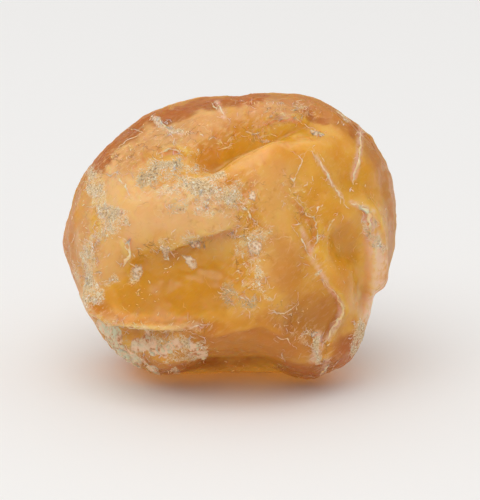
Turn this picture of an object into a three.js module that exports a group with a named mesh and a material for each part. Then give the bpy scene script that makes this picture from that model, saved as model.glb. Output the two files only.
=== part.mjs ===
// A raw piece of Baltic amber: one rounded, water-worn lump, 38 mm across, that rests on a small flat
// worn under it. It grew as one piece, so it is one solid.
//
// The lump is shaped in the frame of its broad face: u runs to the right, v up the face and w out of
// it. That face leans back, so the whole lump is then turned about X and set down on its flat. The
// outline round the face and the depth before and behind it give the rounded body, and strokes along
// it raise the folds and lobes and sink the hollows and creases. Lengths are in millimetres.
import * as THREE from "three";
import { mergeVertices } from "three/addons/utils/BufferGeometryUtils.js";

const LEAN = THREE.MathUtils.degToRad(17); // of the broad face, back from upright
const FRONT_DEPTH = 13.4; // from the middle of the lump to its broad face
const BACK_DEPTH = 14.2; // and to its back
const FULLNESS = 2.35; // 2 is an ellipsoid, and more fills out the shoulders
const WORN_FLAT = 0.8; // how far up the resting flat cuts into the lump
const FINENESS = 17; // splits along each edge of the starting icosahedron

// Radius of the outline round the broad face, every 15 degrees from the right, anticlockwise.
const OUTLINE = [
  18.6, 19.3, 19.6, 19.5, 19.0, 17.4, 16.5, 16.5, 17.2, 17.9, 18.2, 18.4,
  18.6, 18.5, 18.3, 17.9, 17.1, 15.6, 14.5, 15.2, 17.8, 18.3, 17.5, 18.1,
];

// Strokes over the lump, each along a path on the face. A swell is a rounded rise, or a hollow where
// its height is negative. A fold rises on the left of its path and sinks on the right, as a lip does
// over a groove.
const swell = (path, width, height) => ({ kind: "swell", path, width, height });
const fold = (path, width, height) => ({ kind: "fold", path, width, height });
const FRONT_STROKES = [
  // the long leaf-shaped hollow below the top, the smooth crest that closes it, and the rim above it
  swell([[-2.0, 8.8], [0.6, 10.2], [3.6, 11.6], [6.6, 12.4], [8.6, 12.7]], 1.75, -2.5),
  swell([[-3.5, 6.0], [0.8, 7.4], [4.3, 9.2], [7.6, 10.8], [10.0, 11.8]], 1.5, 0.8),
  swell([[4.3, 9.2], [3.6, 7.2]], 1.4, 0.4),
  swell([[-2.5, 12.8], [2.0, 14.1], [7.5, 14.6]], 1.4, 0.6),
  // the shoulder on the left, the scooped window below it, and the edges between the two
  swell([[-9.5, 3.4], [-5.5, 3.2], [-1.0, 3.6]], 3.0, 1.2),
  swell([[-9.6, -4.4], [-5.4, -3.8], [-1.8, -2.6]], 2.7, -1.9),
  fold([[0.6, 2.2], [-1.6, 0.9], [-4.2, -0.1], [-7.0, -1.0], [-9.6, -1.2]], 1.4, -0.8),
  fold([[-10.6, -0.2], [-11.4, -2.4], [-12.8, -3.6]], 1.4, -0.7),
  // the lip of the left bulge, over the deep groove that runs round under it
  fold([[-2.6, -10.6], [-6.3, -9.7], [-10.5, -9.9], [-14.2, -9.0], [-16.6, -6.9], [-18.2, -4.4]], 1.8, -1.6),
  swell([[-14.6, -6.2], [-11.5, -8.2], [-7.0, -8.2]], 1.7, 0.7),
  // the middle ridge, between the window and the right face, and the edge that it ends in
  swell([[2.5, 6.0], [4.2, 1.0], [3.8, -5.0]], 3.4, 1.1),
  fold([[6.0, 6.4], [9.2, 2.2], [9.4, -0.2], [8.7, -2.2], [10.4, -4.6], [12.2, -7.8], [11.4, -9.8]], 1.5, 0.7),
  // hollows and a rise in the right face
  swell([[12.2, 0.2], [13.0, -1.4]], 1.9, -1.5),
  swell([[13.4, 6.4], [15.8, 5.4]], 2.1, -0.9),
  swell([[10.0, 9.6], [13.2, 9.4]], 2.8, 0.6),
  // the crease between the right face and the lobe behind it, which notches the outline
  fold([[12.6, 5.0], [14.8, 3.2], [15.6, 0.4], [16.1, -4.4], [15.4, -8.8], [14.6, -11.0]], 1.5, 1.1),
  // the lower right edge and the hollow before it
  swell([[14.8, -8.4], [14.2, -11.0], [12.6, -13.2]], 1.5, 0.8),
  swell([[7.5, -8.2], [10.2, -9.4]], 2.2, -0.9),
  // the lower face, which turns under, and the arch between the two feet
  swell([[-1.5, -9.2], [3.0, -10.0], [7.4, -10.8]], 1.5, 0.6),
  swell([[-3.0, -15.0], [1.0, -15.6], [4.5, -15.0]], 2.0, -1.5),
];
const ROUND_STROKES = [
  // a notch right through the outline at the lower right, and two dips along the top
  swell([[16.8, -6.8], [19.5, -7.6]], 1.1, -1.8),
  swell([[0.9, 15.2], [1.0, 17.0]], 1.2, -0.35),
  swell([[-17.0, 10.5], [-15.6, 13.0]], 1.6, -0.25),
];
const BACK_STROKES = [
  // the fuller underside that the piece stands on, behind the arch and the two feet
  swell([[-9.5, -12.2], [-4.0, -13.4], [3.0, -13.2]], 3.0, 1.3),
  // two lobes with a creased valley between them, a fold across the left one, and three hollows
  swell([[-9.0, 6.5], [-9.5, -3.0]], 5.0, 1.1),
  swell([[9.5, 4.0], [8.0, -5.0]], 4.4, 1.2),
  fold([[-2.5, 13.5], [0.5, 7.0], [-0.5, 0.5], [1.5, -6.0], [0.0, -12.0]], 1.8, 1.1),
  fold([[-17.5, -3.0], [-12.5, -7.5], [-6.5, -8.5], [-1.0, -7.0]], 1.6, 0.9),
  swell([[-4.5, 3.0], [-6.0, -2.0]], 2.3, -1.0),
  swell([[11.0, 9.5], [13.0, 6.5]], 2.1, -1.1),
  swell([[4.5, -9.5], [9.5, -9.0]], 2.0, -0.8),
];
// Slow waves over the whole surface: how often each runs over the lump, and how high.
const WAVES = [
  { run: [0.31, 0.17, -0.22], start: 0.4, height: 0.22 },
  { run: [-0.24, 0.38, 0.19], start: 2.1, height: 0.18 },
  { run: [0.52, -0.33, 0.41], start: 4.0, height: 0.1 },
  { run: [-0.61, -0.47, 0.35], start: 1.2, height: 0.08 },
];

// The outline's radius at an angle, on a smooth closed curve through the listed radii.
function outlineRadius(angle) {
  const count = OUTLINE.length;
  const place = ((angle / (2 * Math.PI)) * count + count) % count;
  const from = Math.floor(place);
  const t = place - from;
  const [a, b, c, d] = [-1, 0, 1, 2].map((step) => OUTLINE[(from + step + count) % count]);
  return b + 0.5 * t * (c - a + t * (2 * a - 5 * b + 4 * c - d + t * (3 * (b - c) + d - a)));
}

// The rounded body's radius in a direction, before any stroke.
function bodyRadius(direction) {
  const across = Math.hypot(direction.x, direction.y) / outlineRadius(Math.atan2(direction.y, direction.x));
  const depth = Math.abs(direction.z) / (direction.z > 0 ? FRONT_DEPTH : BACK_DEPTH);
  return (across ** FULLNESS + depth ** FULLNESS) ** (-1 / FULLNESS);
}

// How far a point of the face is from a path, which side of it, and how far along, from 0 to 1.
function measure(path, u, v) {
  let nearest = { distance: Infinity };
  for (let i = 0; i + 1 < path.length; i++) {
    const [u0, v0] = path[i];
    const [u1, v1] = path[i + 1];
    const length2 = (u1 - u0) ** 2 + (v1 - v0) ** 2;
    const t = THREE.MathUtils.clamp(((u - u0) * (u1 - u0) + (v - v0) * (v1 - v0)) / length2, 0, 1);
    const distance = Math.hypot(u - u0 - t * (u1 - u0), v - v0 - t * (v1 - v0));
    const side = Math.sign((u1 - u0) * (v - v0) - (v1 - v0) * (u - u0));
    if (distance < nearest.distance) {
      nearest = { distance, side, along: (i + t) / (path.length - 1) };
    }
  }
  return nearest;
}

function strokeHeight(stroke, u, v) {
  const { distance, side, along } = measure(stroke.path, u, v);
  const reach = distance / stroke.width;
  if (stroke.kind === "swell") return stroke.height * Math.exp(-reach * reach);
  const fadedEnds = THREE.MathUtils.smoothstep(Math.min(along, 1 - along), 0, 0.3);
  return stroke.height * fadedEnds * side * 2.2 * reach * Math.exp(-1.4 * reach * reach);
}

function waveHeight(point) {
  return WAVES.reduce((sum, { run, start, height }) => {
    const phase = run[0] * point.x + run[1] * point.y + run[2] * point.z + start;
    return sum + height * Math.sin(phase);
  }, 0);
}

// A point of the lump's surface in the face's frame, in the given direction from the middle.
function surfacePoint(direction) {
  const point = direction.clone().multiplyScalar(bodyRadius(direction));
  const front = THREE.MathUtils.smoothstep(direction.z, -0.05, 0.22);
  const back = THREE.MathUtils.smoothstep(-direction.z, 0.0, 0.3);
  const total = (list) => list.reduce((sum, stroke) => sum + strokeHeight(stroke, point.x, point.y), 0);
  const strokes = front * total(FRONT_STROKES) + back * total(BACK_STROKES) + total(ROUND_STROKES);
  return point.addScaledVector(direction, strokes + waveHeight(point));
}

// The lump, turned to its lean, set down on its flat and centred over the origin.
function lumpGeometry() {
  const ball = new THREE.IcosahedronGeometry(1, FINENESS);
  ball.deleteAttribute("normal");
  ball.deleteAttribute("uv");
  const lump = mergeVertices(ball, 1e-4);
  const places = lump.attributes.position;
  const vertex = new THREE.Vector3();
  for (let i = 0; i < places.count; i++) {
    vertex.fromBufferAttribute(places, i).normalize();
    const { x: u, y: v, z: w } = surfacePoint(vertex);
    const y = v * Math.sin(LEAN) - w * Math.cos(LEAN);
    const z = v * Math.cos(LEAN) + w * Math.sin(LEAN);
    places.setXYZ(i, u, y, z);
  }
  lump.computeBoundingBox();
  const floor = lump.boundingBox.min.z + WORN_FLAT;
  for (let i = 0; i < places.count; i++) places.setZ(i, Math.max(places.getZ(i) - floor, 0));
  lump.computeBoundingBox();
  const middle = lump.boundingBox.getCenter(new THREE.Vector3());
  lump.translate(-middle.x, -middle.y, 0);
  lump.computeVertexNormals();
  return lump;
}

const honeyAmber = new THREE.MeshStandardMaterial({ color: 0xcc8a35, roughness: 0.25, metalness: 0 });
const amber = new THREE.Mesh(lumpGeometry(), honeyAmber);
amber.name = "amber";

const piece = new THREE.Group();
piece.add(amber);
export default piece;
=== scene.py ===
import math

import bmesh
import bpy
import numpy as np
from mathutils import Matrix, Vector
from mathutils.bvhtree import BVHTree
from mathutils.kdtree import KDTree


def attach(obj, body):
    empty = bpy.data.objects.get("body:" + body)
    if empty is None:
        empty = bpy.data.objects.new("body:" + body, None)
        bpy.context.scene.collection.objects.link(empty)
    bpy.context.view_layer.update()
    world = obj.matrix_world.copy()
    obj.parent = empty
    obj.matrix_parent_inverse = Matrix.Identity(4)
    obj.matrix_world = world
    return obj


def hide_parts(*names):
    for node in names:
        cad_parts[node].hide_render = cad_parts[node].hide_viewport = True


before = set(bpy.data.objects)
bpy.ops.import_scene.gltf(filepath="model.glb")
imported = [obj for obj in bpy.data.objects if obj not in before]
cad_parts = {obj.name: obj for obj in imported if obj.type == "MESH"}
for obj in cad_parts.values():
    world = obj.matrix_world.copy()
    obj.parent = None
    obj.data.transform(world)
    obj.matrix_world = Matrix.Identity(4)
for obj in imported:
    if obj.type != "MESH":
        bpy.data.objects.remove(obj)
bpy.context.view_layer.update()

# ---- The lump of amber ------------------------------------------------------------------------------
# One rounded, water-worn lump of fossil resin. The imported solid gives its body: a copy of it is merged
# and smoothed, and the finer ledges, lips and ripples that water and breakage left are raised on it.
# Everything on it is placed in the frame of its broad face, in millimetres: u to the right, v up the
# face and w out of it. The face leans back.
MM = 0.001
LEAN = math.radians(17)
MIDDLE = np.array((0.05, -0.30, 15.67))
HALF_WIDE, HALF_HIGH, FULLNESS = 18.9, 16.9, 2.35  # of the outline round the broad face
MERGED = 1e-6  # metres, closer than which two corners are one
AMBER_IOR = 1.54
FACE = np.array((
    (1.0, 0.0, 0.0),
    (0.0, math.sin(LEAN), math.cos(LEAN)),
    (0.0, -math.cos(LEAN), math.sin(LEAN)),
))


def on_face(points):
    """Places in the model, in metres, as u, v and w."""
    return (np.asarray(points) / MM - MIDDLE) @ FACE.T


def in_model(places):
    """u, v and w as places in the model, in metres."""
    return (np.asarray(places) @ FACE + MIDDLE) * MM


def smooth(low, high, value):
    """0 below low, 1 above high, and an eased step between."""
    t = np.clip((value - low) / (high - low), 0, 1)
    return t * t * (3 - 2 * t)


def ripples(places, size, seed, count=11):
    """A smooth random field of about -1 to 1, with swells about size millimetres across."""
    dice = np.random.default_rng(seed)
    runs = dice.normal(size=(count, 3))
    runs /= np.linalg.norm(runs, axis=1, keepdims=True)
    starts = dice.uniform(0, 2 * math.pi, count)
    return np.sin(places @ runs.T * (2 * math.pi / size) + starts).sum(1) / math.sqrt(count)


def wander(places, size, far, seed):
    """Places pushed about by smooth random swells, by about far millimetres."""
    push = [ripples(places, size, seed + axis) for axis in range(3)]
    return places + far * np.stack(push, 1)


def shards(places, size, seed):
    """Small flat faces about size millimetres wide, each tilted its own way, as a height of about -1 to 1."""
    dice = np.random.default_rng(seed)
    low, high = places.min(0), places.max(0)
    centres = dice.uniform(low, high, (int(np.prod((high - low) / size)), 3))
    tilts = dice.normal(size=centres.shape)
    tree = KDTree(len(centres))
    for number, centre in enumerate(centres):
        tree.insert(centre, number)
    tree.balance()
    nearest = np.array([tree.find(place)[1] for place in places])
    return ((places - centres[nearest]) * tilts[nearest]).sum(1) / size


def along_path(path, places):
    """How far each place is from a path on the face, on which side of it, and how far along it."""
    best = np.full(len(places), np.inf)
    side = np.zeros(len(places))
    along = np.zeros(len(places))
    steps = max(len(path) - 1, 1)
    for number in range(steps):
        start = np.array(path[number])
        run = np.array(path[min(number + 1, len(path) - 1)]) - start
        away = places[:, :2] - start
        t = np.clip(away @ run / max(run @ run, 1e-9), 0, 1)
        gap = np.linalg.norm(away - t[:, None] * run, axis=1)
        near = gap < best
        best = np.where(near, gap, best)
        side = np.where(near, np.sign(run[0] * away[:, 1] - run[1] * away[:, 0]), side)
        along = np.where(near, (number + t) / steps, along)
    return best, side, along


def swells(strokes, places):
    """Soft rises along paths, each given as its path, width and height."""
    total = np.zeros(len(places))
    for path, width, height in strokes:
        gap, _, _ = along_path(path, places)
        total += height * np.exp(-((gap / width) ** 2))
    return total


def ledges(strokes, places):
    """Steps along paths: the left side of each path stands over its right side."""
    total = np.zeros(len(places))
    for path, width, height in strokes:
        gap, side, along = along_path(path, places)
        reach = gap / width
        ends = smooth(0, 0.2, np.minimum(along, 1 - along))
        total += height * ends * side * 2.2 * reach * np.exp(-1.4 * reach * reach)
    return total


def patches(strokes, places):
    """The strongest of the soft patches along paths, each given as its path, width and strength."""
    total = np.zeros(len(places))
    for path, width, strength in strokes:
        gap, _, _ = along_path(path, places)
        total = np.maximum(total, strength * (1 - smooth(0.35 * width, 1.65 * width, gap)))
    return total


FRONT_LEDGES = [
    # the shoulder's edge over the window, in two steps
    ([(1.0, 1.6), (-1.2, 0.9), (-3.0, 0.5), (-4.4, -0.3), (-6.4, -1.0), (-8.6, -1.1)], 0.7, -0.55),
    # the lip of the left bulge
    ([(-1.9, -11.2), (-4.9, -9.7), (-7.7, -10.0), (-11.8, -9.6), (-13.9, -9.1), (-15.7, -8.0),
      (-17.4, -5.9)], 0.75, -0.42),
    # the crest below the top hollow, and the rim above it
    ([(-1.5, 7.9), (1.6, 9.3), (4.3, 10.4), (6.2, 11.4), (8.8, 12.6)], 0.6, -0.45),
    ([(9.2, 12.5), (6.9, 13.5), (5.0, 13.6), (2.8, 12.6)], 0.5, -0.35),
    # the crease that runs down the right face to the notch
    ([(13.1, 4.2), (15.1, 2.9), (15.4, 0.8), (15.5, -3.0), (15.3, -6.5), (14.2, -9.0)], 0.7, 0.3),
    # broken edges of the middle ridge
    ([(6.4, 5.0), (8.1, 3.0), (9.3, 1.6), (9.2, -0.6), (8.6, -2.0)], 0.5, 0.25),
    ([(9.7, -3.9), (11.7, -6.0), (12.4, -7.7), (11.2, -9.6), (10.0, -11.8)], 0.55, 0.4),
    # chips of the lower face
    ([(-2.6, -10.8), (0.5, -10.0), (3.4, -9.4), (6.4, -10.9)], 0.7, 0.3),
    ([(-8.0, 9.5), (-6.0, 10.0), (-4.4, 9.0)], 0.5, 0.3),
]
FRONT_SWELLS = [
    ([(-11.7, -0.3), (-11.0, -1.6), (-11.4, -3.0)], 0.5, 0.45),
    ([(-10.0, -8.0), (-5.0, -8.0), (-1.5, -7.4)], 2.2, -0.7),
    ([(12.4, -0.2), (13.0, -1.4)], 1.2, -0.5),
    ([(2.4, 6.2), (1.2, 4.2)], 0.7, -0.35),
]
BACK_LEDGES = [
    ([(-2.0, 12.0), (0.5, 7.0), (-0.4, 0.5), (1.4, -6.0), (0.2, -11.0)], 0.7, 0.5),
    ([(-15.5, -4.5), (-12.5, -7.3), (-6.5, -8.3), (-2.0, -7.2)], 0.6, 0.45),
    ([(4.5, 9.5), (8.5, 7.0), (12.5, 8.5)], 0.6, -0.4),
    ([(5.0, -1.5), (9.0, -3.5), (13.0, -2.0)], 0.6, 0.35),
]
# Where the skin has flaked off in small chips, and isn't worn smooth.
FLAKED = [
    ([(-13.0, 8.5), (-8.5, 10.8), (-3.5, 11.4)], 2.0, 0.8),
    ([(-1.5, 11.0), (1.5, 12.2), (5.0, 13.0)], 1.2, 0.8),
    ([(-9.5, -1.0), (-4.5, -0.1), (0.8, 1.3)], 0.8, 1.0),
    ([(1.5, 6.0), (2.2, 1.0), (1.5, -6.5)], 1.8, 1.0),
    ([(-14.8, 3.0), (-15.8, -5.0)], 1.2, 0.7),
    ([(4.5, -7.5), (9.5, -11.0), (10.5, -14.0)], 1.3, 0.7),
    ([(-15.0, -8.0), (-8.0, -9.6), (-2.5, -9.6)], 0.8, 0.6),
    ([(2.0, 14.8), (9.0, 14.2)], 1.0, 0.9),
    ([(6.0, 6.0), (9.5, 1.5), (9.0, -3.0)], 1.4, 0.6),
    ([(-9.0, 5.5), (0.5, 4.6)], 2.0, 0.7),
]
# Where the crust is thick and knobbly.
THICK = [
    ([(-13.8, -10.2), (-12.6, -11.8), (-11.2, -13.2)], 1.3, 1.0),
    ([(-10.2, -10.9), (-8.4, -11.8), (-6.6, -11.6)], 0.9, 0.8),
    ([(-4.6, -11.6), (-3.4, -12.4)], 0.6, 0.8),
    ([(-9.2, -13.8), (-8.4, -14.6)], 0.5, 0.8),
]
BACK_THICK = [([(-11.0, 8.0), (-7.5, 10.0), (-4.0, 9.0)], 1.8, 0.8)]

lump = bpy.data.objects.new("amber_lump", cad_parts["amber"].data.copy())
bpy.context.scene.collection.objects.link(lump)
mesh = bmesh.new()
mesh.from_mesh(lump.data)
bmesh.ops.remove_doubles(mesh, verts=mesh.verts, dist=MERGED)
mesh.to_mesh(lump.data)
mesh.free()
smoothing = lump.modifiers.new("smoothing", "SUBSURF")
smoothing.levels = smoothing.render_levels = 2
fine = bpy.data.meshes.new_from_object(lump.evaluated_get(bpy.context.evaluated_depsgraph_get()))
lump.modifiers.clear()
lump.data = fine


def read_back(data, name, per_point):
    """A mesh's points or their normals, as an array."""
    values = np.empty(len(data.vertices) * per_point)
    data.vertices.foreach_get(name, values)
    return values.reshape(-1, per_point)


points = read_back(fine, "co", 3)
outward = read_back(fine, "normal", 3)
places = on_face(points)
front = smooth(-2.5, 2.5, places[:, 2])
# How far out over the broad face each place is, 1 at its outline, and where the lump's sides are.
wide, high = np.abs(places[:, 0]) / HALF_WIDE, np.abs(places[:, 1]) / HALF_HIGH
reach = (wide**FULLNESS + high**FULLNESS) ** (1 / FULLNESS)
sides = smooth(0.90, 0.99, reach) * (1 - smooth(1.0, 5.0, places[:, 2]))
flaked = patches(FLAKED, places) * front + (1 - front) * 0.8 * smooth(0.2, 1.2, ripples(places, 8, 25))
flaked = np.maximum(flaked, 0.8 * sides * smooth(-0.2, 1.0, ripples(places, 7, 29)))
rise = front * (ledges(FRONT_LEDGES, places) + swells(FRONT_SWELLS, places))
rise += (1 - front) * ledges(BACK_LEDGES, places)
rise += flaked * (0.10 * shards(places, 1.7, 26) + 0.06 * shards(places, 0.9, 27))
rise += 0.10 * ripples(places, 5.5, 3) + 0.05 * ripples(places, 2.4, 4) + 0.022 * ripples(places, 1.1, 5)
# The resting flat stays flat.
lifted = smooth(0.05, 0.9, points[:, 2] / MM)
# Natural patches have wandering outlines.
loose = wander(wander(places, 4.0, 0.45, 40), 1.4, 0.2, 50)
thick = patches(THICK, loose) * front + patches(BACK_THICK, loose) * (1 - front)
rise += thick * (0.12 + 0.16 * ripples(places, 1.3, 16) + 0.07 * ripples(places, 0.7, 17))
points = points + outward * (rise * lifted * MM)[:, None]
fine.vertices.foreach_set("co", points.ravel())
fine.update()

# Where the amber is clear, pale or deep in colour. It is clear in the scooped hollows. The pale marks also
# hold a painted reflection of the overhead light, and the deep marks hold painted shade.
CLEAR = [
    ([(-9.0, -4.6), (-5.5, -4.0), (-2.0, -4.2)], 2.6, 1.0),
    ([(-10.5, -6.0), (-6.5, -6.4), (-2.5, -5.8)], 2.1, 1.0),
    ([(-9.0, -8.3), (-4.5, -8.2)], 1.1, 0.6),
    ([(0.0, 9.6), (4.0, 11.6), (7.6, 12.5)], 1.5, 0.75),
    ([(12.2, -0.2), (13.2, -1.2)], 2.0, 0.75),
    ([(13.6, 6.6), (15.8, 5.2)], 1.6, 0.6),
    ([(-8.7, 9.3)], 0.9, 0.7),
    ([(1.0, 3.4), (2.2, 1.4)], 0.9, 0.6),
    ([(9.4, 6.4), (10.8, 3.0)], 1.5, 0.45),
    ([(2.0, -12.8), (8.0, -8.2)], 3.2, 0.4),
]
# Paler, cloudier amber, partly a painted reflection of the overhead light on faces that look up and to the
# sides.
PALE_AND_REFLECTION = [
    ([(-9.6, 3.4), (-5.5, 2.6), (-2.0, 3.2)], 2.8, 1.0),
    ([(-10.6, 10.6), (-6.4, 12.2), (-2.0, 13.0)], 1.7, 0.75),
    ([(-13.2, 9.0), (-12.6, 5.0), (-10.8, 2.0)], 2.1, 0.9),
    ([(1.0, 14.6), (8.0, 15.0)], 1.0, 0.7),
    ([(-16.4, 5.0), (-17.0, -1.0)], 1.0, 0.7),
    ([(-13.6, 5.6), (-11.5, 8.0)], 2.4, 0.5),
    ([(-13.0, -0.5), (-15.4, -4.0)], 2.0, 0.6),
    ([(0.6, 8.0), (4.3, 9.6), (7.8, 11.4)], 0.7, 0.45),
    ([(4.0, 7.0), (5.0, 2.0), (4.5, -2.5)], 2.2, 0.45),
    ([(16.0, -0.6), (16.4, -4.6)], 1.0, 0.9),
    ([(18.0, 8.0), (18.6, -2.0)], 1.6, 0.6),
]
# Deeper colour, partly painted shade: just inside the rim, under the shoulder's edge and the crest, in the
# hollows and along the foot.
DEEP_AND_SHADE = [
    ([(-15.8, 8.6), (-17.4, 3.0), (-16.8, -4.0)], 1.4, 0.35),
    ([(-16.5, -6.6), (-14.0, -8.6), (-11.0, -9.2), (-7.0, -9.3), (-3.0, -9.6)], 0.8, 0.45),
    ([(-2.0, 6.4), (1.5, 8.4), (5.5, 10.2)], 1.1, 0.25),
    ([(-3.0, 10.8), (0.0, 11.6), (4.0, 13.2)], 0.7, 0.3),
    ([(-15.2, 8.6), (-12.6, 11.7), (-9.6, 13.6)], 1.3, 1.0),
    ([(-9.6, 13.4), (-4.0, 15.2), (-1.0, 15.6), (3.0, 16.0)], 1.0, 1.0),
    ([(-11.0, 9.4), (-6.0, 12.0), (0.0, 13.4), (8.0, 15.0)], 1.6, 0.4),
    ([(-1.0, 15.6), (6.0, 16.4), (10.0, 15.6)], 1.0, 0.6),
    ([(8.0, 13.9), (10.8, 13.5)], 0.35, 0.8),
    ([(12.8, 13.4), (14.2, 12.4)], 0.6, 0.8),
    ([(17.4, 10.0), (18.6, 4.0)], 1.4, 0.3),
    ([(-12.5, -13.0), (-8.0, -14.8), (-2.0, -15.0)], 2.2, 0.6),
    ([(-3.0, -12.0), (4.0, -11.6), (10.0, -9.0)], 3.0, 0.62),
    ([(5.5, -1.0), (7.0, -5.0)], 1.8, 0.35),
    ([(12.4, 0.6), (13.2, -2.0)], 1.4, 0.35),
    ([(12.6, -13.4), (13.4, -11.8)], 1.8, 1.0),
    ([(-8.0, -15.2), (0.0, -14.6), (8.0, -15.0), (13.0, -14.2)], 1.7, 1.0),
    ([(13.0, -5.0), (14.5, -8.0)], 1.8, 0.3),
    ([(-10.0, -2.0), (-4.0, -1.2)], 0.9, 0.3),
]
# Hazy bands that run along the wider healed cracks.
HAZE = [
    ([(14.6, 12.8), (14.2, 10.5), (13.9, 8.9), (13.4, 6.9)], 0.34, 0.95),
    ([(9.2, 9.2), (10.3, 7.6), (11.0, 6.2), (12.1, 4.8)], 0.20, 0.9),
    ([(13.2, 4.2), (14.6, 3.6), (15.6, 3.2)], 0.28, 0.9),
    ([(15.3, 2.2), (15.8, -0.2), (16.6, -2.4), (16.4, -5.0), (15.2, -8.6)], 0.75, 1.0),
    ([(9.4, -2.8), (10.6, -4.9), (12.2, -7.0), (12.0, -8.6), (10.6, -10.8)], 0.24, 0.9),
    ([(7.6, 1.2), (8.6, -0.8), (9.0, -2.4)], 0.30, 0.7),
    ([(-17.6, -5.4), (-15.0, -8.3), (-11.0, -9.6), (-6.6, -9.7), (-3.6, -9.4)], 0.42, 0.6),
    ([(9.6, -10.2), (9.8, -11.4), (9.0, -13.2)], 0.42, 0.9),
    ([(10.8, -13.0), (10.2, -15.0)], 0.24, 0.8),
    ([(-8.6, 13.8), (-7.6, 12.6), (-5.4, 11.8)], 0.22, 0.8),
    ([(-1.6, 15.6), (-0.8, 13.6)], 0.26, 0.9),
    ([(2.8, 12.7), (5.2, 13.5), (7.6, 13.3)], 0.22, 0.8),
]
# Weathered crust, and where it is grey rather than cream.
CRUST = [
    ([(-10.0, 6.8), (-8.0, 7.6), (-6.4, 7.9)], 1.2, 1.0),
    ([(-7.8, 6.0), (-6.3, 5.0)], 0.7, 0.8),
    ([(-4.6, 6.2), (-2.0, 5.6), (0.2, 5.0)], 1.9, 1.0),
    ([(-3.4, 4.0), (-1.0, 3.8)], 1.2, 0.75),
    ([(-6.6, 3.6), (-5.4, 4.0)], 0.6, 0.75),
    ([(-15.6, 8.0), (-14.9, 5.0), (-13.0, 2.6), (-12.0, 1.8)], 0.95, 1.0),
    ([(-13.6, 1.4), (-16.0, -0.6)], 0.7, 0.9),
    ([(-16.4, -1.6), (-15.6, -3.8), (-15.0, -6.4)], 1.1, 1.0),
    ([(-13.2, -4.7)], 0.8, 1.0),
    ([(-10.3, -3.5)], 1.0, 1.0),
    ([(-7.2, -0.7), (-7.0, -1.6)], 0.5, 0.9),
    ([(-4.6, -0.3), (-3.0, -0.2)], 0.9, 0.7),
    ([(1.0, -0.6), (3.4, 0.4)], 1.3, 0.75),
    ([(2.4, -2.0)], 1.0, 0.7),
    ([(2.8, -3.4), (3.8, -6.2)], 0.8, 0.8),
    ([(-0.8, -5.8), (0.6, -6.2), (2.2, -7.2)], 0.9, 0.85),
    ([(-14.0, -10.2), (-12.4, -12.0), (-11.0, -13.0)], 1.5, 1.0),
    ([(-10.0, -11.2), (-6.5, -11.6), (-3.8, -12.2)], 1.3, 0.95),
    ([(-9.4, -13.6), (-8.2, -14.6)], 0.6, 0.8),
    ([(-7.0, -14.0), (-5.8, -15.0)], 0.4, 0.8),
    ([(15.2, 2.4), (15.8, 0.2), (16.6, -1.2)], 0.55, 0.9),
    ([(14.4, -9.8), (14.0, -12.0)], 0.7, 0.9),
    ([(11.8, 14.2), (12.6, 13.2)], 0.6, 0.8),
    ([(4.2, 14.6), (8.2, 14.2)], 0.7, 0.55),
    ([(-3.6, 8.8), (-4.6, 8.3)], 0.8, 0.7),
    ([(-8.4, 13.6), (-6.6, 12.0), (-5.6, 11.7)], 0.35, 0.9),
    ([(9.8, -11.2), (9.4, -13.2)], 0.5, 1.0),
    ([(8.8, -10.1)], 0.4, 0.9),
    ([(8.4, -11.4)], 0.9, 0.5),
    ([(9.6, -3.4)], 0.4, 0.9),
]
BACK_CRUST = [
    ([(-11.0, 8.0), (-7.5, 10.0), (-4.0, 9.0)], 1.8, 1.0),
    ([(0.0, 4.0), (0.6, -1.0)], 1.3, 0.85),
    ([(-15.6, -5.0), (-13.6, -8.0), (-11.0, -9.6)], 1.6, 1.0),
    ([(9.5, 7.6), (12.5, 6.0)], 1.5, 0.9),
    ([(8.0, -5.0), (12.0, -3.4)], 1.1, 0.9),
    ([(-14.5, 0.5), (-13.0, 3.5)], 1.2, 0.8),
    ([(4.0, 12.5), (7.5, 12.0)], 1.0, 0.7),
]
GREY = [
    ([(-9.9, 6.6)], 1.0, 0.8),
    ([(-6.0, 3.8)], 0.9, 1.0),
    ([(-9.0, 7.2), (-6.4, 7.6)], 1.4, 0.5),
    ([(-13.6, -10.6), (-11.6, -12.8)], 1.9, 1.0),
    ([(-0.6, -5.9), (0.8, -6.3), (1.8, -7.2)], 1.0, 1.0),
    ([(2.6, -0.4)], 1.3, 0.6),
    ([(-4.4, -0.3)], 1.0, 0.5),
    ([(-9.6, -3.2)], 0.6, 0.6),
    ([(15.6, 0.6)], 0.8, 0.8),
]
astray = wander(wander(places, 9.0, 1.6, 60), 3.0, 0.6, 70)
crust = patches(CRUST, loose) * front + patches(BACK_CRUST, loose) * (1 - front)
crust *= np.clip(1.0 + 0.22 * ripples(places, 2.4, 18), 0, 1.15)
crust = np.maximum(crust, sides * smooth(0.9, 1.5, ripples(astray, 8, 30)))
grey = patches(GREY, loose) * front + (1 - front) * smooth(0.2, 1.4, ripples(astray, 6, 12))
clear = patches(CLEAR, loose) * front + (1 - front) * (0.30 + 0.35 * ripples(astray, 11, 8))
haze = patches(HAZE, places) * front
cloud = np.clip(0.98 - 0.85 * clear + 0.10 * ripples(places, 3.5, 6), 0.12, 1)
# 1 where the amber is cloudy. It is clearer towards its foot, most of all behind.
foot = 1 - smooth(1.5, 6.0, points[:, 2] / MM)
cloud = np.maximum(cloud * (1 - foot * (0.92 - 0.55 * front)), haze)
pale_and_reflection = patches(PALE_AND_REFLECTION, loose) * front + (1 - front) * smooth(-0.4, 1.2, ripples(astray, 9, 9))
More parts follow.
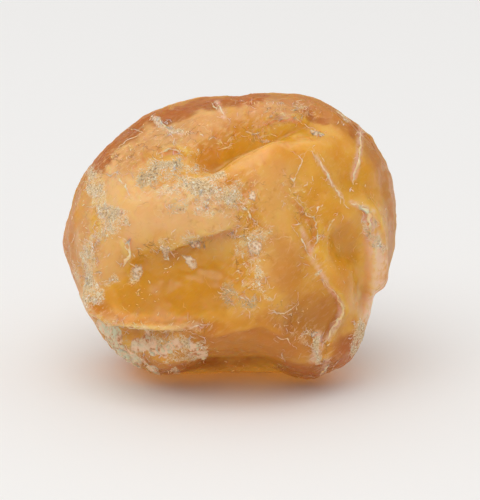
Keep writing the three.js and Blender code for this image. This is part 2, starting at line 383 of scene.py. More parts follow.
# The rim is deeper in colour just inside the outline. This darkening is painted shade, as are the deep marks
# under the ledges and crest, in the hollows and along the foot.
deep_and_shade = np.maximum(patches(DEEP_AND_SHADE, loose), 0.60 * smooth(0.86, 0.96, reach)) * smooth(-2.0, 2.5, places[:, 2])
deep_and_shade += (1 - front) * np.clip(0.40 + 0.25 * ripples(astray, 9, 10), 0, 1)
masks = {"cloud": cloud, "pale_and_reflection": pale_and_reflection, "deep_and_shade": deep_and_shade, "crust": crust, "grey": grey, "thick": thick,
         "grained": crust * (1 - 0.8 * thick) * (1 - 0.3 * grey), "flaked": flaked,
         "haze": haze, "chipped": np.maximum(smooth(-0.6, 1.4, ripples(places, 7, 15)), flaked)}
for name, values in masks.items():
    fine.attributes.new(name, "FLOAT", "POINT").data.foreach_set("value", values.astype(np.float32))
for polygon in fine.polygons:
    polygon.use_smooth = True


class Nodes:
    """A node tree while it is made. add() makes any node: its settings first, then its sockets."""

    def __init__(self, tree):
        self.tree = tree
        tree.nodes.clear()

    def add(self, kind, settings=None, sockets=None, output=0):
        node = self.tree.nodes.new(kind)
        for name, value in (settings or {}).items():
            setattr(node, name, value)
        for name, value in (sockets or {}).items():
            if isinstance(value, Reading):
                self.tree.links.new(value.socket, node.inputs[name])
            else:
                node.inputs[name].default_value = value
        return Reading(self, node.outputs[output]) if node.outputs else None

    def mask(self, name):
        """A mask stored on the mesh."""
        return self.add("ShaderNodeAttribute", {"attribute_name": name}, output="Fac")

    def grain(self, size, detail=2.0, rough=0.5, stretch=(1, 1, 1), turn=0.0):
        """Noise from 0 to 1, with swells about size millimetres across, drawn out along turned axes."""
        place = self.add("ShaderNodeTexCoord", output="Object")
        place = self.add("ShaderNodeMapping", {"vector_type": "TEXTURE"}, {
            "Vector": place, "Rotation": (0.0, turn, 0.0), "Scale": stretch})
        sockets = {"Vector": place, "Scale": 1 / (size * MM), "Detail": detail, "Roughness": rough}
        return self.add("ShaderNodeTexNoise", sockets=sockets)

    def tint(self, factor, first, second):
        """The first colour where factor is 0, and the second where it is 1."""
        return self.add("ShaderNodeMix", {"data_type": "RGBA"}, {0: factor, 6: first, 7: second}, output=2)

    def wavering(self, size, far):
        """Object coordinates pushed about by noise, by up to far millimetres."""
        place = self.add("ShaderNodeTexCoord", output="Object")
        push = self.add("ShaderNodeTexNoise", sockets={
            "Vector": place, "Scale": 1 / (size * MM), "Detail": 2.0}, output="Color")
        push = self.add("ShaderNodeVectorMath", {"operation": "SUBTRACT"}, {0: push, 1: (0.5, 0.5, 0.5)})
        push = self.add("ShaderNodeVectorMath", {"operation": "SCALE"}, {0: push, "Scale": 2 * far * MM})
        return self.add("ShaderNodeVectorMath", {"operation": "ADD"}, {0: place, 1: push})

    def crazing(self, size, width):
        """Hairline cracks between cells about size millimetres across: 1 on a crack, 0 off it."""
        gap = self.add("ShaderNodeTexVoronoi", {"feature": "DISTANCE_TO_EDGE"}, {
            "Vector": self.wavering(size * 0.6, size * 0.35), "Scale": 1 / (size * MM)})
        return 1 - gap.step(0.0, width / size)

    def flecks(self, size, across):
        """Round flecks up to across millimetres wide, in cells about size millimetres wide."""
        gap = self.add("ShaderNodeTexVoronoi", sockets={
            "Vector": self.wavering(0.4, 0.15), "Scale": 1 / (size * MM)}, output="Distance")
        return 1 - gap.step(0.2 * across / size, 0.6 * across / size)


class Reading:
    """A socket in a tree's maths. An expression on readings adds its Math nodes."""

    def __init__(self, nodes, socket):
        self.nodes, self.socket = nodes, socket

    def maths(self, operation, *values):
        return self.nodes.add("ShaderNodeMath", {"operation": operation}, dict(enumerate(values)))

    def __add__(self, other):
        return self.maths("ADD", self, other)

    def __sub__(self, other):
        return self.maths("SUBTRACT", self, other)

    def __rsub__(self, other):
        return self.maths("SUBTRACT", other, self)

    def __mul__(self, other):
        return self.maths("MULTIPLY", self, other)

    __radd__ = __add__
    __rmul__ = __mul__

    def step(self, low, high):
        """0 below low, 1 above high, and eased between."""
        sockets = {"Value": self, "From Min": low, "From Max": high}
        return self.nodes.add("ShaderNodeMapRange", {"interpolation_type": "SMOOTHSTEP"}, sockets)


def new_finish(name):
    """A new material and its node tree."""
    material = bpy.data.materials.new(name)
    material.use_nodes = True
    return material, Nodes(material.node_tree)


def lacework(f):
    """Fine worm-like ridges, 1 along the top of each."""
    threads = f.grain(0.30, detail=3.0, rough=0.75, stretch=(1.0, 1.0, 0.65)) - 0.5
    return 1 - threads.maths("ABSOLUTE", threads).step(0.0, 0.075)


def crust_colour(f, grey):
    """Cream crust that turns grey-green where grey is 1, tan between its ridges, with specks of dirt."""
    mottle = f.grain(0.7, detail=3.0, rough=0.65)
    cream = f.tint(mottle.step(0.35, 0.65), (0.94, 0.72, 0.42, 1), (1.0, 0.90, 0.64, 1))
    colour = f.tint(grey * 0.8, cream, (0.50, 0.40, 0.24, 1))
    colour = f.tint(lacework(f) * 0.85 + 0.15, (0.46, 0.23, 0.06, 1), colour)
    specks = f.grain(0.26, detail=1.0).step(0.56, 0.64) * f.grain(1.5).step(0.38, 0.55)
    return f.tint(specks * (grey * 0.4 + 0.5), colour, (0.17, 0.10, 0.06, 1))


def amber_finish():
    """Clear and cloudy amber and weathered crust in one piece, mixed by the masks on its surface."""
    amber, f = new_finish("amber")
    cloud, pale_and_reflection, deep_and_shade, flaked = f.mask("cloud"), f.mask("pale_and_reflection"), f.mask("deep_and_shade"), f.mask("flaked")
    swirl = f.grain(4.0, detail=3.0)
    streak = f.grain(1.6, detail=4.0, rough=0.6, stretch=(1.0, 1.0, 0.55))
    peel = f.grain(0.55, detail=3.0)
    hairs = f.crazing(2.6, 0.06) * f.grain(2.6).step(0.54, 0.68)
    flecks_and_glints = f.flecks(1.3, 0.20) * f.grain(2.2).step(0.50, 0.66)

    honey = f.tint(swirl.step(0.3, 0.7), (0.74, 0.335, 0.025, 1), (0.81, 0.435, 0.065, 1))
    # Paler amber, with a painted reflection of the overhead light.
    honey = f.tint(pale_and_reflection * 0.7, honey, (0.86, 0.55, 0.27, 1))
    honey = f.tint(1 - cloud.step(0.1, 0.8), honey, (0.76, 0.37, 0.0, 1))
    # Deeper colour, with painted shade at the rim, under ledges, in hollows and at the foot.
    honey = f.tint(deep_and_shade.step(0.0, 1.0), honey, (0.48, 0.13, 0.0, 1))
    wisps = f.grain(0.40, detail=5.0, rough=0.7, stretch=(3.0, 1.0, 0.8), turn=-0.7).step(0.50, 0.64)
    honey = f.tint(wisps * (flaked * 0.55 + 0.14), honey, (0.93, 0.63, 0.32, 1))
    nicks = f.crazing(1.7, 0.07) * f.grain(1.5).step(0.46, 0.62) * (flaked * 0.65 + 0.1)
    honey = f.tint(nicks, honey, (0.30, 0.09, 0.01, 1))
    haze = f.mask("haze") * (f.grain(0.7, detail=4.0, rough=0.7).step(0.34, 0.56) * 0.85 + 0.15)
    honey = f.tint(haze * 0.8, honey, (0.92, 0.62, 0.44, 1))
    stain = f.grain(0.9, detail=4.0, rough=0.7).step(0.56, 0.72)
    honey = f.tint(stain * 0.35, honey, (0.58, 0.22, 0.02, 1))
    # Pale hairline cracks, and pale flecks that are also painted glints.
    honey = f.tint((hairs * 0.5 + flecks_and_glints * 0.8).step(0.0, 1.0), honey, (0.95, 0.76, 0.50, 1))
    bump = f.add("ShaderNodeBump", sockets={
        "Height": peel * 0.25 + streak * 0.4 + hairs * 0.6 + flecks_and_glints + wisps * flaked - nicks,
        "Strength": 0.35, "Distance": 0.00010})
    edge_on = f.add("ShaderNodeLayerWeight", sockets={"Blend": 0.5}, output="Facing").step(0.55, 1.0)
    clear = f.add("ShaderNodeBsdfPrincipled", sockets={
        "Base Color": (1.0, 0.95, 0.82, 1), "Transmission Weight": 1.0, "IOR": AMBER_IOR,
        "Roughness": peel.step(0.2, 0.9) * 0.08 + 0.10, "Normal": bump})
    milky = f.add("ShaderNodeBsdfPrincipled", {"subsurface_method": "RANDOM_WALK"}, {
        "Base Color": honey, "IOR": AMBER_IOR, "Specular IOR Level": 0.36,
        "Roughness": peel.step(0.2, 0.9) * 0.10 + flaked * 0.08 + edge_on * 0.45 + 0.10,
        "Subsurface Weight": 1.0, "Subsurface Radius": (1.0, 0.5, 0.16), "Subsurface Scale": 0.005,
        "Normal": bump})
    greenish = f.mask("grey") * f.grain(1.6).step(0.40, 0.55)
    lumps = f.tint(greenish, (0.92, 0.62, 0.40, 1), (0.76, 0.74, 0.52, 1))
    lumps = f.tint(f.grain(0.8, detail=3.0, rough=0.6).step(0.34, 0.50), (0.58, 0.22, 0.06, 1), lumps)
    coating = f.tint(f.mask("thick").step(0.25, 0.6), crust_colour(f, f.mask("grey")), lumps)
    rind = f.add("ShaderNodeBsdfPrincipled", sockets={
        "Base Color": coating, "Roughness": 0.75,
        "Normal": f.add("ShaderNodeBump", sockets={
            "Height": f.grain(0.35, detail=3.0, rough=0.65), "Strength": 0.9, "Distance": 0.0002})})
    # From within, the far wall is a lit, cloudy skin rather than a mirror.
    skin = f.add("ShaderNodeBsdfTranslucent", sockets={"Color": (1.0, 0.90, 0.42, 1)})
    within = f.add("ShaderNodeMixShader", sockets={0: 0.9, 1: clear, 2: skin})
    inside = f.add("ShaderNodeNewGeometry", output="Backfacing")
    milk = (cloud + (streak - 0.5) * 0.16 + (hairs + flecks_and_glints + haze) * 0.4).step(-0.6, 0.9)
    body = f.add("ShaderNodeMixShader", sockets={0: milk, 1: clear, 2: milky})
    thin = 1 - f.mask("thick").step(0.2, 0.6)
    ragged = thin * ((f.grain(1.2, detail=6.0, rough=0.85) - 0.5) * 2.3 + lacework(f) * 0.45)
    ragged = f.mask("crust") + ragged + (1 - thin) * ((f.grain(1.7, detail=3.0) - 0.5) * 1.6 + 0.35)
    body = f.add("ShaderNodeMixShader", sockets={0: ragged.step(0.92, 1.08), 1: body, 2: rind})
    body = f.add("ShaderNodeMixShader", sockets={0: inside, 1: body, 2: within})
    depth = f.add("ShaderNodeVolumeAbsorption", sockets={"Color": (0.95, 0.64, 0.0, 1), "Density": 110.0})
    f.add("ShaderNodeOutputMaterial", sockets={"Surface": body, "Volume": depth})
    return amber


lump.data.materials.clear()
lump.data.materials.append(amber_finish())
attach(lump, "root")
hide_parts("amber")

# ---- Crust grains -----------------------------------------------------------------------------------
# The weathered rind is granular: crumbs of oxidised resin stand on the surface wherever it is left, coarse in
# the deep groove under the lip. Small pale slivers lie on the skin where it has chipped, and these also stand
# as painted glints.
CREAM_RADIUS = (1.0, 0.6, 0.3)  # how far red, green and blue light spread in crust, chips and veins


def sowing(name, sizes):
    """An empty geometry tree with named inputs, and its reading of each."""
    tree = bpy.data.node_groups.new(name, "GeometryNodeTree")
    kinds = {float: "NodeSocketFloat", int: "NodeSocketInt", bpy.types.Material: "NodeSocketMaterial",
             bpy.types.Object: "NodeSocketObject"}
    tree.interface.new_socket("Geometry", in_out="INPUT", socket_type="NodeSocketGeometry")
    for label, value in sizes.items():
        tree.interface.new_socket(label, in_out="INPUT", socket_type=kinds[type(value)])
    tree.interface.new_socket("Geometry", in_out="OUTPUT", socket_type="NodeSocketGeometry")
    g = Nodes(tree)
    way_in = tree.nodes.new("NodeGroupInput")
    return tree, g, {socket.name: Reading(g, socket) for socket in way_in.outputs if socket.name}


def grown(name, source, tree, sizes):
    """A new piece: the plain mesh that the tree grows from the source mesh."""
    piece = bpy.data.objects.new(name, source)
    bpy.context.scene.collection.objects.link(piece)
    growth = piece.modifiers.new("growth", "NODES")
    growth.node_group = tree
    for item in tree.interface.items_tree:
        if item.in_out == "INPUT" and item.name in sizes:
            growth[item.identifier] = sizes[item.name]
    result = bpy.data.meshes.new_from_object(piece.evaluated_get(bpy.context.evaluated_depsgraph_get()))
    piece.modifiers.clear()
    piece.data = result
    return piece


def crumbs(name, mask, per_mm2, smallest, largest, length, flatness, facets, seed, finish):
    """Crumbs over the lump wherever the mask on it is above a half, sunk into it by their middles."""
    sizes = {"Per square metre": per_mm2 / MM**2, "Smallest": smallest * MM, "Largest": largest * MM,
             "Length": length, "Flatness": flatness, "Facets": facets, "Seed": seed, "Finish": finish}
    tree, g, given = sowing(name, sizes)
    field = g.add("GeometryNodeInputNamedAttribute", {"data_type": "FLOAT"}, {"Name": mask})
    ragged = g.add("ShaderNodeTexNoise", sockets={"Scale": 1 / (0.7 * MM), "Detail": 4.0, "Roughness": 0.7})
    density = (field + (ragged - 0.5) * 2.0).step(0.6, 1.0) * given["Per square metre"]
    where = g.add("GeometryNodeDistributePointsOnFaces", {"distribute_method": "RANDOM"}, {
        "Mesh": given["Geometry"], "Density": density, "Seed": given["Seed"]})
    turn = Reading(g, where.socket.node.outputs["Rotation"])
    crumb = g.add("GeometryNodeMeshIcoSphere", sockets={"Radius": 1.0, "Subdivisions": given["Facets"]})
    dent = g.add("ShaderNodeTexNoise", sockets={"Scale": 1.3, "Detail": 1.0})
    out = g.add("GeometryNodeInputNormal")
    crumb = g.add("GeometryNodeSetPosition", sockets={
        "Geometry": crumb, "Offset": g.add("ShaderNodeVectorMath", {"operation": "SCALE"}, {
            0: out, "Scale": (dent - 0.5) * 1.1})})
    spin = g.add("FunctionNodeRandomValue", {"data_type": "FLOAT"}, {
        2: 0.0, 3: 2 * math.pi, "Seed": given["Seed"]}, output=1)
    turn = g.add("FunctionNodeRotateRotation", {"rotation_space": "LOCAL"}, {
        "Rotation": turn, "Rotate By": g.add("FunctionNodeAxisAngleToRotation", sockets={
            "Axis": (0.0, 0.0, 1.0), "Angle": spin})})
    wide = g.add("FunctionNodeRandomValue", {"data_type": "FLOAT"}, {
        2: 0.0, 3: 1.0, "ID": g.add("GeometryNodeInputIndex"), "Seed": given["Seed"]}, output=1)
    size = given["Smallest"] + (given["Largest"] - given["Smallest"]) * wide * wide
    shape = g.add("ShaderNodeCombineXYZ", sockets={
        0: size * given["Length"], 1: size, 2: size * given["Flatness"]})
    sown = g.add("GeometryNodeInstanceOnPoints", sockets={
        "Points": where, "Instance": crumb, "Rotation": turn, "Scale": shape})
    solid = g.add("GeometryNodeRealizeInstances", sockets={"Geometry": sown})
    solid = g.add("GeometryNodeSetShadeSmooth", sockets={"Geometry": solid})
    solid = g.add("GeometryNodeSetMaterial", sockets={"Geometry": solid, "Material": given["Finish"]})
    g.add("NodeGroupOutput", sockets={"Geometry": solid})
    return grown(name, lump.data, tree, sizes)


crumb_crust, f = new_finish("crust")
f.add("ShaderNodeOutputMaterial", sockets={"Surface": f.add("ShaderNodeBsdfPrincipled", sockets={
    "Base Color": f.tint(f.grain(0.28).step(0.40, 0.60), (0.70, 0.45, 0.21, 1), (1.0, 0.93, 0.74, 1)),
    "Roughness": 0.6,
    "Subsurface Weight": 0.35, "Subsurface Radius": CREAM_RADIUS, "Subsurface Scale": 0.0004})})
crust_grains = crumbs("crust_grains", "grained", 7.0, 0.03, 0.10, 2.8, 0.7, 1, 5, crumb_crust)
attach(crust_grains, "root")

knob_crust, f = new_finish("knobbly_crust")
shade = f.tint(f.grain(1.6, detail=2.0).step(0.42, 0.6), (0.72, 0.62, 0.40, 1), (0.92, 0.68, 0.44, 1))
shade = f.tint(f.grain(0.3, detail=3.0).step(0.5, 0.72) * 0.5, shade, (0.52, 0.34, 0.16, 1))
f.add("ShaderNodeOutputMaterial", sockets={"Surface": f.add("ShaderNodeBsdfPrincipled", sockets={
    "Base Color": shade, "Roughness": 0.5, "Subsurface Weight": 0.5, "Subsurface Radius": CREAM_RADIUS,
    "Subsurface Scale": 0.0008, "Normal": f.add("ShaderNodeBump", sockets={
        "Height": f.grain(0.3, detail=3.0), "Strength": 0.5, "Distance": 0.00015})})})
crust_knobs = crumbs("crust_knobs", "thick", 5.0, 0.07, 0.28, 1.4, 0.5, 2, 6, knob_crust)
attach(crust_knobs, "root")

flake_and_glint_white, f = new_finish("pale_flake_and_glint")
f.add("ShaderNodeOutputMaterial", sockets={"Surface": f.add("ShaderNodeBsdfPrincipled", sockets={
    "Base Color": f.tint(f.grain(3.0).step(0.4, 0.6), (0.96, 0.66, 0.28, 1), (1.0, 0.84, 0.56, 1)),
    "Roughness": 0.3, "Subsurface Weight": 0.5, "Subsurface Radius": CREAM_RADIUS,
    "Subsurface Scale": 0.0004})})
# Pale slivers, also painted glints.
surface_chips_and_glints = crumbs("surface_chips_and_glints", "chipped", 1.3, 0.02, 0.08, 4.0, 0.6, 1, 7, flake_and_glint_white)
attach(surface_chips_and_glints, "root")

# ---- Veins ------------------------------------------------------------------------------------------
# Cracks that healed while the resin was young. Each stands as a fine pale thread along its path over the
# surface, thicker and thinner as it goes, with a few hairs that branch from it. The bright crescent and three
# short bright strokes among them are painted glints.
VEINS_AND_GLINTS = [
    ([(8.8, 9.7), (9.7, 8.7), (10.3, 7.6), (11.0, 6.2), (12.1, 4.8), (12.8, 3.4)], 0.16),
    ([(14.5, 12.6), (14.2, 10.5), (14.0, 8.9), (13.5, 7.1), (13.1, 5.5)], 0.20),
    ([(13.1, 4.1), (14.2, 3.7), (15.1, 3.0), (15.4, 0.8)], 0.22),
    ([(7.3, 9.4), (7.8, 8.7), (7.2, 7.6), (6.9, 6.4), (6.2, 6.9), (5.6, 7.7)], 0.07),
    ([(8.6, 7.1), (9.3, 6.0)], 0.07),
    ([(6.4, 5.0), (7.3, 4.1), (8.1, 3.0), (9.2, 2.3), (9.4, 1.1), (9.2, -0.5), (8.5, -1.2)], 0.09),
    ([(9.2, 3.0), (9.5, 3.7), (10.1, 4.1)], 0.06),
    ([(11.8, 2.9), (10.9, 2.1), (10.4, 0.8)], 0.12),
    ([(6.6, 1.4), (7.3, 0.5), (8.0, -0.7), (8.5, -1.8)], 0.10),
    ([(9.8, -4.1), (11.7, -6.0), (12.4, -7.6), (12.1, -8.5), (11.2, -9.6), (10.1, -11.7)], 0.16),
    ([(11.0, -13.5), (10.0, -15.2)], 0.14),
    ([(3.9, -7.4), (5.4, -7.9), (7.0, -7.3), (7.2, -6.7)], 0.10),
    ([(5.0, -13.9), (6.4, -14.1)], 0.10),
    ([(5.4, -12.2), (6.0, -13.4)], 0.08),
    ([(5.0, -10.4), (6.6, -11.2)], 0.08),
    ([(-18.0, -4.4), (-17.1, -6.4), (-15.7, -8.0), (-13.9, -9.1), (-11.8, -9.6), (-7.7, -10.0),
      (-4.9, -9.6), (-3.8, -10.2), (-1.9, -11.2)], 0.07),
    ([(-4.9, -9.6), (-3.8, -9.2), (-2.6, -9.1)], 0.08),
    ([(3.0, 12.5), (5.3, 13.5), (6.9, 13.6), (8.5, 12.8), (9.2, 12.4)], 0.09),
    ([(-1.6, 15.4), (-0.8, 13.8)], 0.12),
    ([(-2.2, 15.6), (-1.4, 14.2)], 0.08),
    ([(-8.6, 13.7), (-7.2, 12.6), (-6.5, 11.9), (-5.4, 11.7)], 0.12),
    ([(-12.0, 12.9), (-9.5, 11.9)], 0.09),
    ([(-12.5, 10.3), (-11.6, 11.2), (-10.0, 11.7)], 0.08),
    ([(-8.1, 9.4), (-6.8, 10.1), (-5.8, 9.8), (-4.9, 9.2)], 0.10),
    ([(-12.9, 7.3), (-11.8, 6.4), (-11.1, 4.8)], 0.07),
    ([(-14.1, 7.3), (-12.7, 7.3), (-10.9, 7.1)], 0.08),
    ([(-18.3, -0.7), (-17.3, 0.7)], 0.08),
    # Painted glint: a bright crescent, drawn as a thick pale thread.
    ([(-11.3, -0.2), (-10.9, -1.4), (-11.8, -2.8)], 0.26),
    ([(0.6, 1.5), (-1.6, 0.8)], 0.07),
    # Painted glints: three short bright strokes, drawn as pale threads.
    ([(8.8, 12.3), (9.6, 11.9), (10.3, 11.5)], 0.16),
    ([(2.0, 11.5), (3.3, 12.0)], 0.10),
    ([(1.1, 3.8), (1.8, 3.1), (2.2, 2.3)], 0.15),
    ([(-1.6, 10.0), (0.4, 10.4)], 0.09),
    ([(-0.8, -5.6), (0.2, -5.9), (1.2, -5.8)], 0.08),
]
BACK_VEINS = [
    ([(-2.0, 11.0), (0.5, 7.0), (-0.4, 0.5), (1.4, -6.0), (0.2, -10.5)], 0.15),
    ([(0.5, 7.0), (4.0, 6.0), (7.0, 7.5), (11.0, 7.0)], 0.11),
    ([(-15.0, 5.0), (-11.0, 3.0), (-7.5, 4.0), (-4.0, 1.5)], 0.12),
    ([(-15.2, -3.4), (-14.5, -4.8), (-12.6, -7.0), (-10.8, -8.4)], 0.10),
    ([(4.5, -1.0), (9.0, -3.5), (13.0, -2.0), (15.5, -3.5)], 0.12),
    ([(5.5, -7.0), (8.0, -8.5), (11.0, -8.0)], 0.09),
    ([(-8.0, 10.5), (-5.0, 12.5), (-1.0, 13.0)], 0.09),
    ([(12.5, 8.5), (14.5, 5.0), (14.0, 1.5)], 0.10),
]

THREAD_STEP = 0.35  # millimetres between the points of a thread
THREAD_WOBBLE = 0.09
THINNEST = 0.10
surface = BVHTree.FromPolygons(
    [Vector(point) for point in points], [tuple(polygon.vertices) for polygon in lump.data.polygons])


def on_surface(u, v, facing):
    """The place on the lump's front (facing 1) or back (-1) at u and v, or None past its outline."""
    start, ahead = in_model([(u, v, facing * 40)])[0], in_model([(u, v, 0)])[0]
    hit, _, _, _ = surface.ray_cast(Vector(start), Vector(ahead - start).normalized())
    return hit


def threads(paths, hairs, facing, seed):
    """Points, edges and widths of the threads along the paths, and of the hairs."""
    dice = np.random.default_rng(seed)
    spots, joins, widths = [], [], []

    def lay(path, width):
        path = np.array(path)
        lengths = np.concatenate(([0], np.cumsum(np.linalg.norm(np.diff(path, axis=0), axis=1))))
        count = max(int(lengths[-1] / THREAD_STEP), 3)
        previous = None
        for t in np.linspace(0, lengths[-1], count + 1):
            u, v = (np.interp(t, lengths, path[:, axis]) for axis in (0, 1))
            hit = on_surface(u + dice.normal(0, THREAD_WOBBLE), v + dice.normal(0, THREAD_WOBBLE), facing)
            if hit is None:
                previous = None
                continue
            spots.append(tuple(hit))
            taper = min(t, lengths[-1] - t) / lengths[-1]
            widths.append(width * (0.35 + 0.9 * min(taper * 3, 1) * dice.uniform(0.6, 1.2)))
            if previous is not None:
                joins.append((previous, len(spots) - 1))
            previous = len(spots) - 1

    for path, width in hairs:
        lay(path, width)
    for path, width in paths:
        lay(path, max(width, THINNEST))
        for _ in range(int(3 + 20 * width)):
            place = dice.integers(0, len(path))
            start = np.array(path[place]) + dice.normal(0, 0.35, 2)
            heading = dice.uniform(0, 2 * math.pi)
            bend = heading + dice.normal(0, 0.6)
            long = dice.uniform(0.4, 1.3)
            middle = start + long * 0.5 * np.array((math.cos(heading), math.sin(heading)))
            end = middle + long * 0.5 * np.array((math.cos(bend), math.sin(bend)))
            lay([start, middle, end], width * 0.35)
    return spots, joins, widths


def fringe(strokes, seed, per_mm, nearest):
    """Short hairs round the patches along paths, from a nearest part of each patch's width outwards."""
    dice = np.random.default_rng(seed)
    hairs = []
    for path, width, _ in strokes:
        path = np.array(path)
        long = np.linalg.norm(np.diff(path, axis=0), axis=1).sum()
        for _ in range(int(per_mm * long)):
            place = dice.uniform(0, len(path) - 1)
            number = min(int(place), max(len(path) - 2, 0))
            along = path[number] + (path[min(number + 1, len(path) - 1)] - path[number]) * (place - number)
            turn = dice.uniform(0, 2 * math.pi)
            out = np.array((math.cos(turn), math.sin(turn)))
            start = along + out * width * dice.uniform(nearest, 1.2)
            turn += dice.normal(0, 1.0)
            end = start + np.array((math.cos(turn), math.sin(turn))) * dice.uniform(0.3, 1.1)
            middle = (start + end) / 2 + dice.normal(0, 0.06, 2)
            hairs.append(([start, middle, end], dice.uniform(0.04, 0.07)))
    return hairs


def press_down(piece, kept):
    """Flatten a piece towards the lump, keeping part of its height."""
    for vertex in piece.data.vertices:
        near, _, _, _ = surface.find_nearest(vertex.co)
        vertex.co = near + (vertex.co - near) * kept


def vein_piece(name, paths, hairs, facing, seed, finish):
    """The threads of one side of the lump, as fine rods sunk halfway into it."""
    spots, joins, widths = threads(paths, hairs, facing, seed)
    lines = bpy.data.meshes.new(name + "_paths")
    lines.from_pydata(spots, joins, [])
    lines.attributes.new("width", "FLOAT", "POINT").data.foreach_set("value", widths)
    sizes = {"Step": 0.16 * MM, "Waver": 0.22 * MM, "Thickness": 0.75 * MM, "Finish": finish}
    tree, g, given = sowing(name, sizes)
    run = g.add("GeometryNodeMeshToCurve", sockets={0: given["Geometry"]})
    run = g.add("GeometryNodeResampleCurve", {"mode": "LENGTH"}, {"Curve": run, "Length": given["Step"]})
    noise = g.add("ShaderNodeTexNoise", sockets={"Scale": 1 / (0.9 * MM), "Detail": 3.0}, output="Color")
    shift = g.add("ShaderNodeVectorMath", {"operation": "SCALE"}, {
        0: g.add("ShaderNodeVectorMath", {"operation": "SUBTRACT"}, {0: noise, 1: (0.5, 0.5, 0.5)}),
        "Scale": given["Waver"] * 2.0})
    run = g.add("GeometryNodeSetPosition", sockets={"Geometry": run, "Offset": shift})
    width = g.add("GeometryNodeInputNamedAttribute", {"data_type": "FLOAT"}, {"Name": "width"})
    swell = g.add("ShaderNodeTexNoise", sockets={"Scale": 1 / (0.5 * MM), "Detail": 2.0})
    ring = g.add("GeometryNodeCurvePrimitiveCircle", sockets={"Resolution": 7, "Radius": given["Thickness"]})
    rods = g.add("GeometryNodeCurveToMesh", sockets={
        "Curve": run, "Profile Curve": ring, "Scale": width * (swell.step(0.3, 0.7) * 0.8 + 0.5),
        "Fill Caps": True})
    solid = g.add("GeometryNodeRealizeInstances", sockets={"Geometry": rods})
    solid = g.add("GeometryNodeSetShadeSmooth", sockets={"Geometry": solid})
    solid = g.add("GeometryNodeSetMaterial", sockets={"Geometry": solid, "Material": given["Finish"]})
    g.add("NodeGroupOutput", sockets={"Geometry": solid})
    veins = grown(name, lines, tree, sizes)
    press_down(veins, 0.5)
    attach(veins, "root")


pale_thread_and_glint, f = new_finish("pale_vein_and_glint")
shade = f.tint(f.grain(0.8, detail=3.0).step(0.35, 0.65), (0.88, 0.55, 0.28, 1), (0.99, 0.80, 0.54, 1))
f.add("ShaderNodeOutputMaterial", sockets={"Surface": f.add("ShaderNodeBsdfPrincipled", sockets={
    "Base Color": shade, "Roughness": 0.4, "Subsurface Weight": 1.0, "Subsurface Radius": CREAM_RADIUS,
    "Subsurface Scale": 0.0006})})
front_hairs = fringe(CRUST, 23, 6.5, 0.6) + fringe(FLAKED, 28, 3.0, 0.0)
vein_piece("front_veins_and_glints", VEINS_AND_GLINTS, front_hairs, 1, 21, pale_thread_and_glint)
vein_piece("back_veins", BACK_VEINS, fringe(BACK_CRUST, 24, 4.5, 0.6), -1, 22, pale_thread_and_glint)

# ---- Films ------------------------------------------------------------------------------------------
# Where a healed crack lies almost along the surface it shows as a thin film or a flake just under the skin,
# paler and greyer than the amber round it. Each is a thin closed lens that follows the surface. Two of them
# are painted glints.
FILMS_AND_GLINTS = [
    [(-5.6, -1.4), (-4.6, -1.5), (-3.7, -2.0), (-3.5, -3.0), (-4.3, -3.4), (-4.9, -2.4)],
    [(-7.7, -0.5), (-7.0, -0.7), (-6.4, -0.6), (-6.7, -1.3), (-7.3, -2.2), (-7.5, -1.4)],
    [(-11.0, -3.0), (-10.4, -2.4), (-9.7, -2.8), (-9.5, -3.6), (-10.0, -4.4), (-10.8, -4.3)],
    [(-4.8, -0.2), (-3.8, 0.1), (-2.9, -0.1), (-3.3, -0.9), (-4.3, -0.8)],
    # Painted glint: a bright fleck drawn as a film.
    [(2.2, 5.6), (2.8, 5.0), (2.6, 4.1), (2.0, 4.4), (1.8, 5.2)],
    [(1.6, -0.4), (2.8, 0.2), (3.6, -0.4), (3.2, -1.6), (2.0, -1.5)],
    [(8.7, -10.0), (9.4, -9.9), (9.3, -10.6), (8.8, -10.7)],
    # Painted glints: bright flecks at the top hollow's right tip, drawn as a film.
    [(8.6, 12.4), (9.6, 12.2), (10.4, 11.6), (9.4, 11.4), (8.8, 11.7)],
    [(2.9, 11.0), (4.0, 11.2), (4.6, 10.9), (3.6, 10.6)],
]
FILM_HALF = 0.05
FILM_RINGS = 5
FILM_SIDES = 28


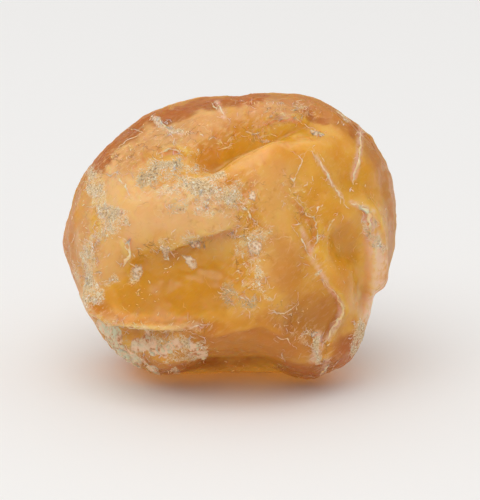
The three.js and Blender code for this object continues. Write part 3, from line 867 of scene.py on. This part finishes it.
def film_mesh(outlines, seed):
    """Every film in one mesh: rings from the middle out to a wavering outline, above and below."""
    dice = np.random.default_rng(seed)
    corners, faces, middles = [], [], []
    for outline in outlines:
        outline = np.array(outline + outline[:1])
        middle = outline[:-1].mean(0)
        lengths = np.concatenate(([0], np.cumsum(np.linalg.norm(np.diff(outline, axis=0), axis=1))))
        turns = np.linspace(0, lengths[-1], FILM_SIDES, endpoint=False)
        edge = np.stack([np.interp(turns, lengths, outline[:, axis]) for axis in (0, 1)], 1)
        edge += dice.normal(0, 0.07, edge.shape)
        first = len(corners)
        spots = [middle] + [middle + (edge[side] - middle) * ring / FILM_RINGS
                            for ring in range(1, FILM_RINGS + 1) for side in range(FILM_SIDES)]
        for lift in (1, -1):
            for number, spot in enumerate(spots):
                thick = FILM_HALF * (1 - ((number + FILM_SIDES - 1) // FILM_SIDES / FILM_RINGS) ** 2)
                hit, out, _, _ = surface.find_nearest(on_surface(spot[0], spot[1], 1))
                corners.append(hit + out * (0.01 + lift * thick) * MM)
                middles.append(thick / FILM_HALF)
        count = len(spots)
        for layer in (0, 1):
            for side in range(FILM_SIDES):
                after = (side + 1) % FILM_SIDES
                start = first + layer * count
                tri = (start, start + 1 + side, start + 1 + after)
                faces.append(tri if layer == 0 else tri[::-1])
                for ring in range(FILM_RINGS - 1):
                    inner, outer = start + 1 + ring * FILM_SIDES, start + 1 + (ring + 1) * FILM_SIDES
                    quad = (inner + side, outer + side, outer + after, inner + after)
                    faces.append(quad if layer == 0 else quad[::-1])
    data = bpy.data.meshes.new("films_and_glints")
    data.from_pydata(corners, [], faces)
    data.attributes.new("middle", "FLOAT", "POINT").data.foreach_set("value", middles)
    work = bmesh.new()
    work.from_mesh(data)
    bmesh.ops.remove_doubles(work, verts=work.verts, dist=MERGED)
    bmesh.ops.recalc_face_normals(work, faces=work.faces)
    work.to_mesh(data)
    work.free()
    for polygon in data.polygons:
        polygon.use_smooth = True
    return data


film_and_glint_finish, f = new_finish("film_and_glint")
cloudy = f.grain(0.5, detail=3.0, rough=0.65).step(0.35, 0.65)
film_and_glint = f.add("ShaderNodeBsdfPrincipled", sockets={
    "Base Color": f.tint(cloudy, (0.80, 0.58, 0.34, 1), (0.95, 0.80, 0.62, 1)), "Roughness": 0.3,
    "Alpha": (f.grain(0.35, detail=3.0).step(0.30, 0.60) * 0.7 + 0.2) * f.mask("middle").step(0.0, 0.7)})
f.add("ShaderNodeOutputMaterial", sockets={"Surface": film_and_glint})
films_and_glints = bpy.data.objects.new("films_and_glints", film_mesh(FILMS_AND_GLINTS, 31))
bpy.context.scene.collection.objects.link(films_and_glints)
films_and_glints.data.materials.append(film_and_glint_finish)
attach(films_and_glints, "root")

# ---- The table and the light ------------------------------------------------------------------------
# A plain pale table top, a wide soft lamp over it, a little to the left and in front, and a pale room
# that is brighter overhead and to the left.
TABLE_ACROSS = 6.0
LAMP_PLACE, LAMP_ACROSS, LAMP_WATTS = (-0.28, -0.62, 1.32), 1.5, 8.3
LENS_MM, SENSOR_MM = 150, 36
CAMERA_AWAY = 238.5 * MM

sheet = bpy.data.meshes.new("table")
half = TABLE_ACROSS / 2
rim = [(-half, -half, 0), (half, -half, 0), (half, half, 0), (-half, half, 0)]
sheet.from_pydata(rim, [], [(0, 1, 2, 3)])
table = bpy.data.objects.new("table", sheet)
bpy.context.scene.collection.objects.link(table)
paint_finish, f = new_finish("table")
paint = f.add("ShaderNodeBsdfPrincipled", sockets={"Base Color": (0.87, 0.865, 0.86, 1), "Roughness": 0.8,
                                                   "Specular IOR Level": 0.2})
f.add("ShaderNodeOutputMaterial", sockets={"Surface": paint})
sheet.materials.append(paint_finish)

room = bpy.data.worlds.new("room")
room.use_nodes = True
bpy.context.scene.world = room
f = Nodes(room.node_tree)
heading = f.add("ShaderNodeTexCoord", output="Generated")
across, height = (f.add("ShaderNodeSeparateXYZ", sockets={0: heading}, output=axis) for axis in (0, 2))
light = 0.36 + (0 - across).step(0.35, 0.85) * 0.25 + across.step(0.5, 0.95) * 0.08
light = light + height.step(0.55, 0.78) * 0.92
glow = f.tint(light, (0.0, 0.0, 0.0, 1), (1.0, 0.995, 0.985, 1))
glow = f.add("ShaderNodeBackground", sockets={"Color": glow, "Strength": 1.0})
f.add("ShaderNodeOutputWorld", sockets={0: glow})


def soft_lamp(name, place, aim, size, watts, colour):
    """A square soft lamp that faces aim."""
    lamp = bpy.data.lights.new(name, "AREA")
    lamp.size, lamp.energy, lamp.color = size, watts, colour
    holder = bpy.data.objects.new(name, lamp)
    holder.location = place
    holder.rotation_euler = (Vector(place) - Vector(aim)).to_track_quat("Z", "Y").to_euler()
    bpy.context.scene.collection.objects.link(holder)


soft_lamp("overhead", LAMP_PLACE, (0, 0, 0.015), LAMP_ACROSS, LAMP_WATTS, (1.0, 0.985, 0.97))

# The camera faces the broad face squarely, so it looks down as much as that face leans back.
aim = Vector((1.03, -0.50, 14.67)) * MM
away = Vector((0, -math.cos(LEAN), math.sin(LEAN)))
lens = bpy.data.cameras.new("camera")
lens.lens, lens.sensor_width = LENS_MM, SENSOR_MM
camera = bpy.data.objects.new("camera", lens)
camera.location = aim + away * CAMERA_AWAY
camera.rotation_euler = away.to_track_quat("Z", "Y").to_euler()
bpy.context.scene.collection.objects.link(camera)
bpy.context.scene.camera = camera
bpy.context.scene.view_settings.view_transform = "Standard"
